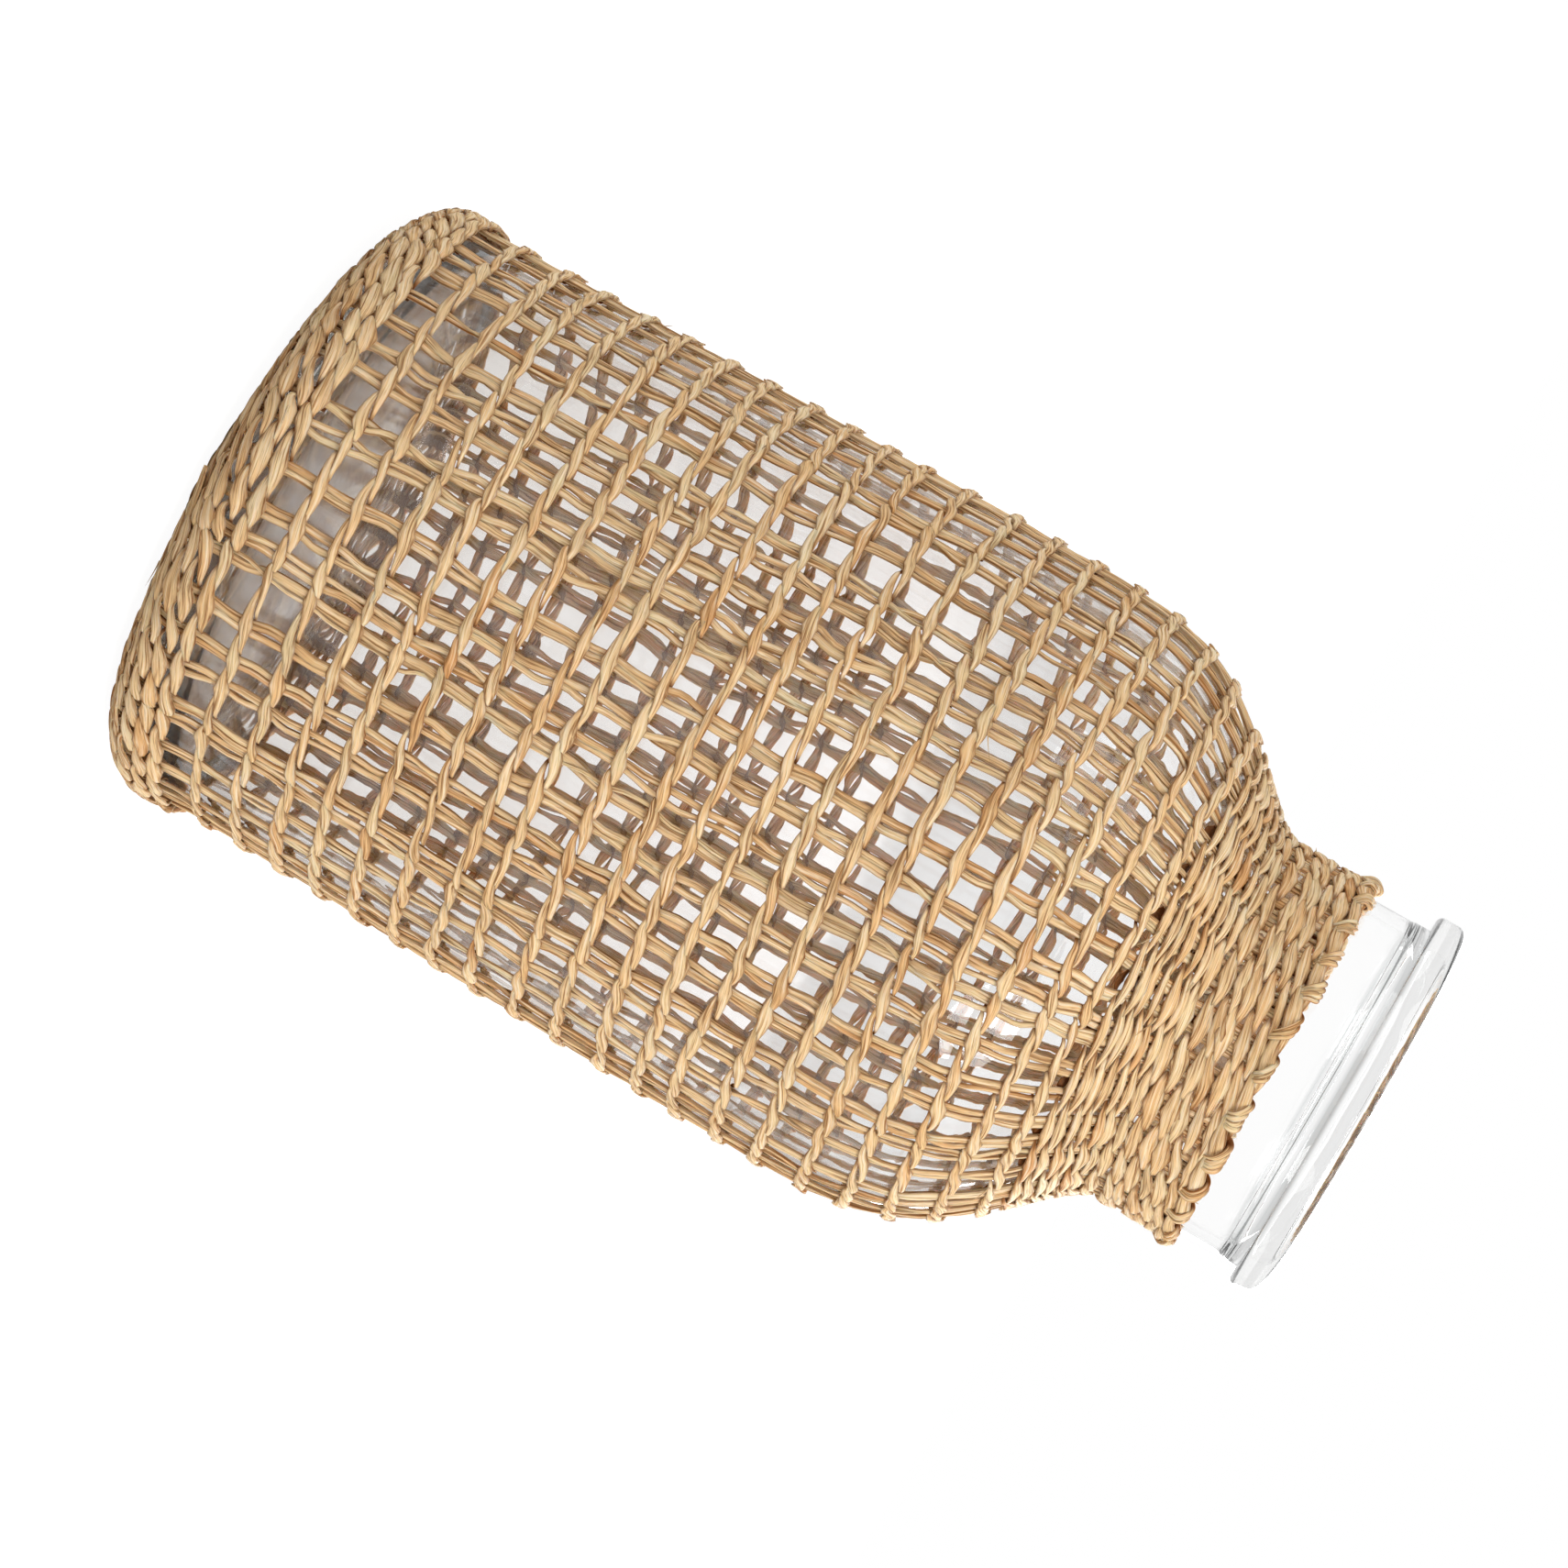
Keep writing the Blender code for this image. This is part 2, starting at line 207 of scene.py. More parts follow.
def sweepStrand(strand, sides):
    # p = centre + x across + y up, x = w/2 cos^0.75, y = t/2 sin^0.7 sloping off from cos = fold, with a
    # narrow groove beside it. Each point keeps its place for the fibres (along, across, up), and its tint,
    # how deep it lies under the row's skin and how near it is to the stem's edge; depth and edge set its
    # painted shade.
    angle, length, out = strand["angle"], strand["length"], strand["out"]
    centre = onBottle(angle, length, out)
    if strand["closed"]:
        tangent = unit(np.roll(centre, -1, 0) - np.roll(centre, 1, 0))
    else:
        tangent = unit(np.gradient(centre, axis=0))
    up = outward(angle, length)
    up = unit(up - (up * tangent).sum(-1, keepdims=True) * tangent)
    across = np.cross(tangent, up)
    lean = strand["tilt"][:, None]
    up, across = np.cos(lean) * up + np.sin(lean) * across, np.cos(lean) * across - np.sin(lean) * up
    turn = (np.arange(sides) + 0.5) * 2 * np.pi / sides
    x = strand["width"][:, None] / 2 * power(np.cos(turn), section["widthPower"])
    y = strand["thick"][:, None] / 2 * power(np.sin(turn), section["thickPower"])
    aside = np.cos(turn) - strand["fold"][:, None]
    y = y * (section["crown"] - section["slope"] * np.abs(aside))
    y = y * (1 - strand["crease"] * bump(aside, -section["grooveAside"], section["grooveWidth"]))
    points = centre[:, None] + x[..., None] * across[:, None] + y[..., None] * up[:, None]
    points[..., 2] = np.maximum(points[..., 2], section["lowest"])
    steps = np.linalg.norm(np.diff(centre, axis=0), axis=1)
    run = np.concatenate([[0], np.cumsum(steps)])[:, None] + strand["shift"][:, None]
    fibre = np.stack([np.broadcast_to(run, x.shape), x + strand["seed"], y], -1)
    # painted shade: the deeper a point lies under the row's skin, the darker brown it is painted, and at the
    # leaves' tips no less than their painted tip shade
    deep = np.clip(1 - (out[:, None] + y) / strand["reach"], 0, 1)        # 0 on the skin, 1 at the glass
    deep = np.where(y > 0, deep, section["pithDeep"])
    deep = np.maximum(deep, np.reshape(strand.get("paintedShade", 0), (-1, 1)))
    edge = np.abs(np.cos(turn)) ** section["edgePower"] * np.where(y > 0, 1, section["pithEdge"])
    tint = np.broadcast_to(strand["tint"][:, None], x.shape)
    return points, fibre, np.stack([tint, deep, edge], -1)


def strandsToObject(name, strands, sides, material):
    # each strand is a tube of quads with flat ends; its bake map cuts the tube into strips, stacked row on
    # row, each strip as long as the stack is high, with a small gap between strips
    swept = [sweepStrand(strand, sides) for strand in strands]
    around = 2.6 * np.mean([strand["width"].mean() for strand in strands])        # girth, 2.6 widths
    run = [np.linalg.norm(np.diff(place[:, 0], axis=0), axis=1).sum() for place, fibre, mark in swept]
    ringLength = sum(run) / sum(len(place) for place, fibre, mark in swept)
    ringsPerStrip = int(math.sqrt(around * sum(run)) / ringLength) + 1
    corners, sizes, maps = [], [], []
    start, firstRow = 0, 0
    for strand, (place, fibre, mark) in zip(strands, swept):
        rings = len(place)
        spans = rings if strand["closed"] else rings - 1
        ring, k = np.meshgrid(np.arange(spans), np.arange(sides), indexing="ij")
        nextRing, nextK = (ring + 1) % rings, (k + 1) % sides
        quads = np.stack([ring * sides + k, nextRing * sides + k,
                          nextRing * sides + nextK, ring * sides + nextK], -1)
        row, left = firstRow + ring // ringsPerStrip, ring % ringsPerStrip
        u = np.stack([left, left + 1, left + 1, left], -1) / ringsPerStrip
        v = row[..., None] + 0.04 + 0.92 * np.stack([k, k, k + 1, k + 1], -1) / sides
        corners.append(quads.ravel() + start)
        sizes.append(np.full(quads.shape[0] * sides, 4))
        maps.append(np.stack([0.006 + 0.988 * u, v], -1).reshape(-1, 2))
        if not strand["closed"]:
            first = np.arange(sides)[::-1] + start
            last = np.arange(sides) + start + (rings - 1) * sides
            corners.append(np.concatenate([first, last]))
            sizes.append(np.full(2, sides))
            maps.append(np.tile([0.003, firstRow + 0.5], (2 * sides, 1)))
        start += rings * sides
        firstRow += math.ceil(spans / ringsPerStrip)
    corners, sizes, maps = np.concatenate(corners), np.concatenate(sizes), np.concatenate(maps)
    maps[:, 1] /= firstRow
    mesh = bpy.data.meshes.new(name)
    mesh.vertices.add(start)
    points = np.concatenate([place.reshape(-1, 3) for place, fibre, mark in swept])
    mesh.vertices.foreach_set("co", points.astype(np.float32).ravel())
    mesh.loops.add(len(corners))
    mesh.loops.foreach_set("vertex_index", corners.astype(np.int32))
    mesh.polygons.add(len(sizes))
    mesh.polygons.foreach_set("loop_start", np.concatenate([[0], np.cumsum(sizes)[:-1]]).astype(np.int32))
    mesh.update(calc_edges=True)
    layer = mesh.uv_layers.new(name="OFBake")
    layer.uv.foreach_set("vector", maps.astype(np.float32).ravel())
    for title, at in (("fibre", 1), ("strand", 2)):
        kept = mesh.attributes.new(title, "FLOAT_VECTOR", "POINT")
        values = np.concatenate([part[at].reshape(-1, 3) for part in swept])
        kept.data.foreach_set("vector", values.astype(np.float32).ravel())
    mesh.shade_smooth()
    mesh.materials.append(material)
    piece = bpy.data.objects.new(name, mesh)
    bpy.context.scene.collection.objects.link(piece)
    return piece


def smoothRing(values, at):
    # values at whole numbers round a ring, joined by smooth steps 3s^2 - 2s^3
    low = np.floor(at).astype(int)
    share = at - low
    share = share * share * (3 - 2 * share)
    return values[low % len(values)] * (1 - share) + values[(low + 1) % len(values)] * share


def drift(at, period, size, waves=4):
    # a sum of sines with whole numbers of waves in the period, random in phase, about this size
    total = np.zeros(np.shape(at))
    for wave in range(1, waves + 1):
        high, phase = rng.normal() / math.sqrt(wave), rng.uniform(0, 6.28)
        total += high * np.sin(2 * np.pi * wave * at / period + phase)
    return size * total / math.sqrt(waves) * 1.2


def jolt(at, pitch, size):
    # uneven steps: a random value every pitch, joined smoothly
    knots = rng.normal(0, size, int(at.max() / pitch) + 3)
    return smoothRing(knots, at / pitch)


# Fibres. Real ones are about 0.1 mm wide, too fine to show, so they are drawn 0.2 and 0.5 mm wide.
sedge = dict(
    ramp=[(0.0, "#DAC59A"), (0.30, "#E3C394"), (0.60, "#DDB480"), (0.82, "#CF9C67"), (1.0, "#B67F4A")],
    # pale and line are the fibres' own streaks; the third colour is the dark brown of the painted shade
    pale="#EEDDBF", line="#83552D", paintedShadeColour="#663409",
    sway=0.16, paleShare=0.75, lineShare=0.82, hairShare=0.55, paintedShadeShare=0.92, edgeShare=0.80,
    roughness=0.6, specular=0.08, ior=1.45, relief=0.2 * mm, reliefStrength=0.7,
    glow=0.38, glowRadius=(1.0, 0.6, 0.3), glowDepth=1.1 * mm,
    fibreWidth=0.48 * mm, fibreLength=14 * mm, fineWidth=0.2 * mm, fineLength=5 * mm,
    patchScale=(60, 240, 240))        # patches of tone about 17 mm long and 4 mm wide


def sedgeMaterial(name, look):
    # Split sedge stems, dried and twined by hand: satin straw skin with lengthwise fibres, painted dark
    # brown as shade in the recesses between strands and at the leaves' tips, browner at the split edges,
    # partly their own colour and partly painted shade, and thin enough to glow brown against the light
    material, tree = newMaterial(name)
    fibre = addNode(tree, "Attribute", attribute_name="fibre")
    strand = addNode(tree, "Attribute", attribute_name="strand")
    marks = addNode(tree, "SeparateXYZ", {"Vector": strand.outputs["Vector"]})        # tint, depth and edge
    wide, long = 1 / look["fibreWidth"], 1 / look["fibreLength"]
    coarse = addNode(tree, "Mapping", {"Vector": fibre.outputs["Vector"], "Scale": (long, wide, wide)})
    grain = addNode(tree, "TexNoise", {"Vector": coarse.outputs["Vector"], "Scale": 1.0, "Detail": 2.5,
                                       "Roughness": 0.55})
    wide, long = 1 / look["fineWidth"], 1 / look["fineLength"]
    close = addNode(tree, "Mapping", {"Vector": fibre.outputs["Vector"], "Scale": (long, wide, wide)})
    fine = addNode(tree, "TexNoise", {"Vector": close.outputs["Vector"], "Scale": 1.0, "Detail": 2.0})
    slow = addNode(tree, "Mapping", {"Vector": fibre.outputs["Vector"], "Scale": look["patchScale"]})
    patch = addNode(tree, "TexNoise", {"Vector": slow.outputs["Vector"], "Scale": 1.0, "Detail": 2.0})
    sway = addNode(tree, "MapRange", {"Value": patch.outputs["Fac"], "From Min": 0.3, "From Max": 0.7,
                                      "To Min": -look["sway"], "To Max": look["sway"]})
    tone = addNode(tree, "Math", {0: marks.outputs["X"], 1: sway.outputs["Result"]}, operation="ADD")
    base = addNode(tree, "ValToRGB", {"Fac": tone.outputs["Value"]}, stops=look["ramp"])
    # pale fibres, then brown lines and fine brown hairs between them
    lift = addNode(tree, "MapRange", {"Value": grain.outputs["Fac"], "From Min": 0.50, "From Max": 0.66,
                                      "To Max": look["paleShare"]})
    light = addNode(tree, "Mix", {"Factor": lift.outputs["Result"], "A": base.outputs["Color"],
                                  "B": linear(look["pale"])}, data_type="RGBA")
    dip = addNode(tree, "MapRange", {"Value": grain.outputs["Fac"], "From Min": 0.46, "From Max": 0.33,
                                     "To Max": look["lineShare"]})
    lined = addNode(tree, "Mix", {"Factor": dip.outputs["Result"], "A": light.outputs["Result"],
                                  "B": linear(look["line"])}, data_type="RGBA")
    hair = addNode(tree, "MapRange", {"Value": fine.outputs["Fac"], "From Min": 0.45, "From Max": 0.32,
                                      "To Max": look["hairShare"]})
    haired = addNode(tree, "Mix", {"Factor": hair.outputs["Result"], "A": lined.outputs["Result"],
                                   "B": linear(look["line"])}, data_type="RGBA")
    # painted shade: dark brown in the recesses and at the leaves' tips, and along the split edges, which are
    # partly browner of their own, whichever is more
    recessShadeMask = addNode(tree, "MapRange", {"Value": marks.outputs["Y"], "From Min": 0.14, "From Max": 0.50,
                                     "To Max": look["paintedShadeShare"]})
    side = addNode(tree, "Math", {0: marks.outputs["Z"], 1: look["edgeShare"]}, operation="MULTIPLY")
    paintedShade = addNode(tree, "Math", {0: recessShadeMask.outputs["Result"], 1: side.outputs["Value"]}, operation="MAXIMUM")
    final = addNode(tree, "Mix", {"Factor": paintedShade.outputs["Value"], "A": haired.outputs["Result"],
                                  "B": linear(look["paintedShadeColour"])}, data_type="RGBA")
    both = addNode(tree, "Math", {0: grain.outputs["Fac"], 1: fine.outputs["Fac"]}, operation="ADD")
    relief = addNode(tree, "Bump", {"Height": both.outputs["Value"], "Strength": look["reliefStrength"],
                                    "Distance": look["relief"]})
    satin = addNode(tree, "MapRange", {"Value": grain.outputs["Fac"], "From Min": 0.3, "From Max": 0.7,
                                       "To Min": look["roughness"] + 0.12,
                                       "To Max": look["roughness"] - 0.08})
    shader = addNode(tree, "BsdfPrincipled", {
        "Base Color": final.outputs["Result"], "Roughness": satin.outputs["Result"],
        "Normal": relief.outputs["Normal"], "Specular IOR Level": look["specular"], "IOR": look["ior"],
        "Subsurface Weight": look["glow"], "Subsurface Radius": look["glowRadius"],
        "Subsurface Scale": look["glowDepth"]})
    addNode(tree, "OutputMaterial", {"Surface": shader.outputs["BSDF"]})
    return material


weftMaterial = sedgeMaterial("twined split sedge, straw", sedge)
stakeMaterial = sedgeMaterial("split sedge stakes, straw", dict(sedge, fibreLength=20 * mm))
borderMaterial = sedgeMaterial("plaited sedge border", sedge)
matMaterial = sedgeMaterial("close twined sedge mat, rubbed", dict(sedge, roughness=0.7, pale="#E6CC9F"))

# A stem's tone is its place on the ramp, and shares says how common each is
tones = dict(values=[0.20, 0.28, 0.35, 0.42, 0.50, 0.58, 0.70],
             shares=[0.09, 0.18, 0.24, 0.22, 0.14, 0.09, 0.04])
print("materials made")


# Stakes: the 54 pairs of strands, and where each stands
stakes = dict(
    count=54, perBundle=3, sides=10, step=2.0 * mm, pairGap=0.86 * mm, width=1.80 * mm, thick=0.95 * mm,
    out=1.62 * mm, outRange=(0.6 * mm, 2.2 * mm), reach=2.35 * mm, rootRadius=14 * mm,
    unevenness=0.14, mostUneven=0.26, lean=0.135, leanShare=0.6, leanLength=0.30, pairing=0.15,
    straightTo=0.040, calmTo=0.045, pairJolt=0.34 * mm, jolt=0.31 * mm,
    crossChance=0.5, crossBetween=(0.07, 0.27), crossOver=4.0 * mm, flatChance=0.14)
stakeStep = 2 * np.pi / stakes["count"]
neckLength = lengthAtHeight(seat + bottle["neckStart"], stakes["out"])
stakeNudge = rng.normal(0, stakes["unevenness"], stakes["count"])
stakeNudge = stakeNudge.clip(-stakes["mostUneven"], stakes["mostUneven"])
stakeWaves = [(rng.normal(0, stakes["lean"] / wave, stakes["count"]),
               rng.uniform(0, 6.28, stakes["count"]), wave) for wave in (1, 2, 3, 5, 8)]


def stakeShift(index, length):
    # in stake steps: a steady unevenness, slow waves up the side, and pairs drawing together at the neck
    total = stakeNudge[index] + 0 * length
    for size, phase, wave in stakeWaves:
        swing = np.sin(2 * np.pi * wave * length / stakes["leanLength"] + phase[index])
        total = total + stakes["leanShare"] * size[index] * swing
    fade = np.clip((length - stakes["straightTo"]) / 0.03, 0, 1)
    pull = np.clip((length - neckLength + 0.030) / 0.020, 0, 1)
    together = np.where(index % 2 == 0, stakes["pairing"], -stakes["pairing"])
    return total * fade * (1 - 0.5 * pull) + together * pull


# Weft rows: two strands twined round groups of stakes. A strand is width by thick, and lift is half of its
# climb in a passage. In front it is a leaf: leaf is its half length in groups, point how it narrows, taper
# its end's share of the width, and back its fullness behind the stakes. It leans by tilt, turn says how
# soon it has climbed, and dive where it starts inwards. It lies at middle, swings by swing in and out, and
# reach is the row's skin. A row goes up and down by wander, and each passage bows by arch.
weft = dict(
    base_band_row=dict(
        groups=54, width=4.25 * mm, thick=1.15 * mm, lift=0.88 * mm, leaf=0.79, point=1.0, taper=0.12,
        tilt=0.24, middle=1.95 * mm, swing=1.35 * mm, reach=4.3 * mm, wander=0.25 * mm,
        arch=0.0, dive=0.54, turn=0.62, back=1.0),
    open_row=dict(
        groups=54, width=3.3 * mm, thick=0.90 * mm, lift=0.72 * mm, leaf=0.88, point=0.78, taper=0.17,
        tilt=0.20, middle=1.62 * mm, swing=1.05 * mm, reach=3.25 * mm, wander=0.62 * mm,
        arch=0.0, dive=0.60, turn=0.58, back=0.4),
    shoulder_row=dict(
        groups=27, width=3.2 * mm, thick=0.95 * mm, lift=0.52 * mm, leaf=0.74, point=0.88, taper=0.18,
        tilt=0.20, middle=1.62 * mm, swing=1.0 * mm, reach=3.25 * mm, wander=0.30 * mm,
        arch=0.95 * mm, dive=0.52, turn=0.60, back=1.0),
    neck_row=dict(
        groups=27, width=4.0 * mm, thick=1.0 * mm, lift=0.80 * mm, leaf=0.75, point=0.90, taper=0.16,
        tilt=0.22, middle=1.62 * mm, swing=1.0 * mm, reach=3.25 * mm, wander=0.36 * mm,
        arch=0.25 * mm, dive=0.54, turn=0.62, back=1.0))
lowBand = dict(weft["base_band_row"], width=3.45 * mm, lift=1.05 * mm, leaf=0.95, tilt=0.30, turn=0.80)
lowRows = ("base_band_row_04", "base_band_row_05")

# What is uneven in every twined row, and the painted shade at the leaves' tips where they dive behind the
# stakes
twining = dict(swell=0.15, swellRange=(0.68, 1.28), rise=0.28, riseRange=(0.45, 1.6), bobble=0.26 * mm,
               jitter=0.06 * mm, lean=0.14, foldSwing=2.6, crease=0.32, sharedWander=0.55 * mm,
               paintedShade=0.40, tipShadeFrom=0.30, tipShadeOver=0.20, tipShadeTint=0.08, sides=12, mostLoose=4)


def rowAngles(groups, length):
    # the angle of each group's middle at this length
    index = np.arange(stakes["count"])
    place = index + stakeShift(index, np.full(len(index), length))
    return place.reshape(groups, -1).mean(1) * stakeStep


def tints(count):
    # one tone for each passage: runs of 2 to 7 passages from one stem, and a little of its own
    values = np.zeros(count)
    at = 0
    while at < count:
        run = rng.integers(2, 8)
        values[at:at + run] = rng.choice(tones["values"], p=tones["shares"])
        at += run
    return values + rng.normal(0, 0.06, count)


def sharedWander(angle, length):
    # the whole sleeve's slow up and down, alike in neighbouring rows: three waves that turn with height
    return twining["sharedWander"] * (np.sin(angle + 9 * length + 0.6)
                                      + 0.6 * np.sin(2 * angle - 21 * length + 2.0)
                                      + 0.4 * np.sin(3 * angle + 33 * length))


def twinedRow(length, look, wanderSize=1.0, perStake=10):
    # u counts the groups of stakes passed, and side runs -1 to 1 round each group that the strand is in
    # front of. It climbs as lift sin(90 side / turn) and holds, and from |side| = 0.8 it drops back behind
    # the next group. out = middle + swing in front and middle - swing behind, with a smooth dive between.
    # width = taper + (1 - taper)(1 - (|side| / leaf)^point), and wider again by back behind the stakes.
    # The passage bows as arch (1/2 - (2 |side|)^2).
    groups = look["groups"]
    turns = 2 if groups % 2 else 1        # with an odd count one strand goes round twice, else there are two
    perGroup = perStake * stakes["count"] // groups
    centre = rowAngles(groups, length) if groups > 20 else np.arange(groups) * 2 * np.pi / groups
    own = centre - np.arange(groups) * 2 * np.pi / groups
    own = (own + np.pi) % (2 * np.pi) - np.pi
    passages = groups * turns
    strands = []
    waves = [(rng.normal(), rng.uniform(0, 6.28)) for wave in range(9)]
    for phase in range(1 if turns == 2 else 2):
        u = np.arange(passages * perGroup) / perGroup
        angle = u * 2 * np.pi / groups + smoothRing(own, u)
        side = (u - phase + 1) % 2 - 1
        aside = np.abs(side)
        climb = np.sin(np.pi / 2 * np.clip(side / look["turn"], -1, 1))
        twist = climb * np.cos(np.pi / 2 * np.clip((aside - 0.80) / 0.20, 0, 1))
        dive = np.clip((aside - look["dive"]) / (0.96 - look["dive"]), 0, 1)
        hold = 1 - 2 * dive * dive * (3 - 2 * dive)
        wander = sum(size / (1 + 0.7 * wave) * np.sin((wave + 1) * angle + at)
                     for wave, (size, at) in enumerate(waves))
        swell = smoothRing(rng.normal(1, twining["swell"], passages).clip(*twining["swellRange"]), u)
        rise = smoothRing(rng.normal(1, twining["rise"], passages).clip(*twining["riseRange"]), u)
        bobble = smoothRing(rng.normal(0, twining["bobble"], passages), u)
        leaf = 1 - np.clip(aside / look["leaf"], 0, 1) ** look["point"]
        leaf = leaf + look["back"] * np.clip((aside - look["leaf"]) / (1 - look["leaf"]), 0, 1)
        width = look["width"] * swell * (look["taper"] + (1 - look["taper"]) * leaf)
        thick = look["thick"] * (0.80 + 0.20 * hold) * (0.82 + 0.18 * leaf)
        jitter = smoothRing(rng.normal(0, twining["jitter"], passages), u)
        skin = look["reach"] + 0.03 * mm
        out = look["middle"] + look["swing"] * hold + jitter
        out = np.clip(out, thick / 2 + 0.05 * mm, skin - thick / 2)        # clear of the glass
        passage = np.floor((u - phase + 1) / 2).astype(int) % passages
        stems = tints(passages)
        bow = look["arch"] * (0.5 - np.minimum(2 * aside, 1) ** 2)
        # painted shade at the leaves' tips where they dive behind the stakes: painted darker and browner
        # there
        tips = np.clip((aside - look["leaf"] + twining["tipShadeFrom"]) / twining["tipShadeOver"], 0, 1)
        strands.append(dict(
            closed=True, angle=angle, out=out, reach=look["reach"], width=width, thick=thick,
            length=length + look["lift"] * rise * twist + look["wander"] * wanderSize * wander
            + wanderSize * sharedWander(angle, length) + bobble + bow,
            tilt=-look["tilt"] * twist + smoothRing(rng.normal(0, twining["lean"], passages), u),
            fold=0.6 * np.sin(drift(u, passages, twining["foldSwing"])), crease=twining["crease"],
            paintedShade=twining["paintedShade"] * tips, tint=stems[passage] + twining["tipShadeTint"] * (1 - leaf),
            shift=rng.uniform(0, 3, passages)[passage], seed=rng.uniform(0, 2)))
    return strands


def splinter(angle, length, look):
    # a loose fibre: lies along the row, rising as t^1.5, and lifts away as t^2
    t = np.linspace(0, 1, 9)
    reach, rise = rng.uniform(4, 9) * mm, rng.normal(0, 2.2) * mm
    return dict(
        closed=False, angle=angle + t * reach / 70 / mm, length=length + rise * t ** 1.5,
        out=look["reach"] - 0.35 * mm + rng.uniform(0.1, 0.9) * mm * t ** 2, reach=look["reach"] + 1 * mm,
        width=rng.uniform(0.35, 0.6) * mm * (1.05 - t), thick=0.3 * mm * (1.05 - t), tilt=0 * t, fold=0 * t,
        crease=0.0, tint=0.3 + 0 * t, shift=0 * t + rng.uniform(0, 3), seed=rng.uniform(0, 2))


def dress(piece, slot, *nodes):
    # the piece rides on the vase's one body, in place of these nodes
    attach(piece, "root")
    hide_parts(*nodes)


for group, look in weft.items():
    for node in sorted(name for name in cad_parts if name.startswith(group)):
        low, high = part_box(node)
        length = lengthAtHeight((low.z + high.z) / 2, 0.5 * (1.8 * mm + look["reach"]))
        strands = twinedRow(length, lowBand if node in lowRows else look)
        for loose in range(rng.integers(0, twining["mostLoose"])):
            strands.append(splinter(rng.uniform(0, 6.28), length + rng.normal(0, 0.6) * mm, look))
        piece = strandsToObject(node + "_strands", strands, twining["sides"], weftMaterial)
        dress(piece, "weft_fibre", node)
    print(group, "twined")


# Stakes: each pair of strands runs from its fan under the base to the border

def stakePair(index, look):
    # angle = the pair's middle, with jolts, plus or minus pairGap / radius. At a crossing the sides change
    # over as tanh(length / crossOver), one strand on top. Some pairs are one flat stem and a thin one.
    end = lengthAtHeight(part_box("border_braid")[0].z + 0.6 * mm, look["out"])
    length = np.linspace(look["rootRadius"], end, round((end - look["rootRadius"]) / look["step"]))
    middle = (index + stakeShift(np.full(len(length), index), length)) * stakeStep
    radius = alongOutline(outline[:, 0], length) + look["out"]
    room = 2 * np.pi * radius / (2 * look["count"]) * 0.97        # a strand's share of the way round
    calm = np.clip((length - look["calmTo"]) / 0.02, 0, 1)
    middle = middle + jolt(length, 9.5 * mm, look["pairJolt"]) * calm / radius
    crossing = np.ones(len(length))
    if rng.random() < look["crossChance"]:
        for at in rng.uniform(*look["crossBetween"], rng.integers(1, 4)):
            crossing = crossing * np.tanh((length - at) / look["crossOver"])
    flat = rng.random() < look["flatChance"]
    strands = []
    for side in (-1, 1):
        width = look["width"] * rng.normal(1, 0.07)
        width = width * (1 + drift(length, 0.30, 0.07) + jolt(length, 6 * mm, 0.08))
        offset = side * look["pairGap"] * crossing + jolt(length, 5.5 * mm, look["jolt"]) * calm
        if flat:
            width, offset = width * (1.5 if side < 0 else 0.7), offset * (0.55 if side < 0 else 1.4)
        squeeze = np.minimum(1, room / look["width"])
        out = look["out"] + side * 0.36 * mm * (1 - np.abs(crossing)) + jolt(length, 5 * mm, 0.10 * mm)
        strands.append(dict(
            closed=False, angle=middle + offset * squeeze / radius, length=length, reach=look["reach"],
            out=out.clip(*look["outRange"]), width=np.minimum(width, room),
            thick=look["thick"] * np.sqrt(squeeze),
            tilt=drift(length, 0.30, 0.22) + jolt(length, 8 * mm, 0.12) + side * 0.12,
            fold=0.6 * np.sin(drift(length, 0.3, 2.4)), crease=twining["crease"],
            tint=rng.choice(tones["values"], p=tones["shares"]) + drift(length, 0.3, 0.07),
            shift=np.full(len(length), rng.uniform(0, 3)), seed=rng.uniform(0, 2)))
    return strands


for bundle in range(stakes["count"] // stakes["perBundle"]):
    strands = []
    for place in range(stakes["perBundle"]):
        strands += stakePair((bundle * stakes["perBundle"] + place - 1) % stakes["count"], stakes)
    node = f"stake_bundle_{bundle + 1:02d}"
    piece = strandsToObject(node + "_strands", strands, stakes["sides"], stakeMaterial)
    dress(piece, "stake_fibre", node)
print("stakes laid")


# Border: stake ends come up inside, turn over the edge and down to the right, over a twined pair along it
border = dict(
    wraps=27, sides=10, wrapWidth=1.4 * mm, wrapThick=0.85 * mm, ply=1.45 * mm, slant=5.4 * mm,
    peak=-0.65 * mm, reach=4.4 * mm, plies=[2, 3, 4], plyShares=[0.05, 0.55, 0.40], ropeDrop=1.1 * mm,
    coreDrop=0.8 * mm, coreOut=1.55 * mm, coreWidth=2.5 * mm, coreThick=1.9 * mm,
    rope=dict(
        groups=27, width=3.6 * mm, thick=1.1 * mm, lift=0.85 * mm, leaf=0.85, point=1.2, taper=0.22,
        tilt=0.35, middle=2.2 * mm, swing=0.95 * mm, reach=4.2 * mm, wander=0.15 * mm,
        arch=0.0, dive=0.50, turn=0.66, back=0.4))
borderLow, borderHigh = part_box("border_braid")
borderMiddle = lengthAtHeight((borderLow.z + borderHigh.z) / 2, 0.0)
borderHalf = (borderHigh.z - borderLow.z) / 2
wrapStep = 2 * np.pi / border["wraps"]


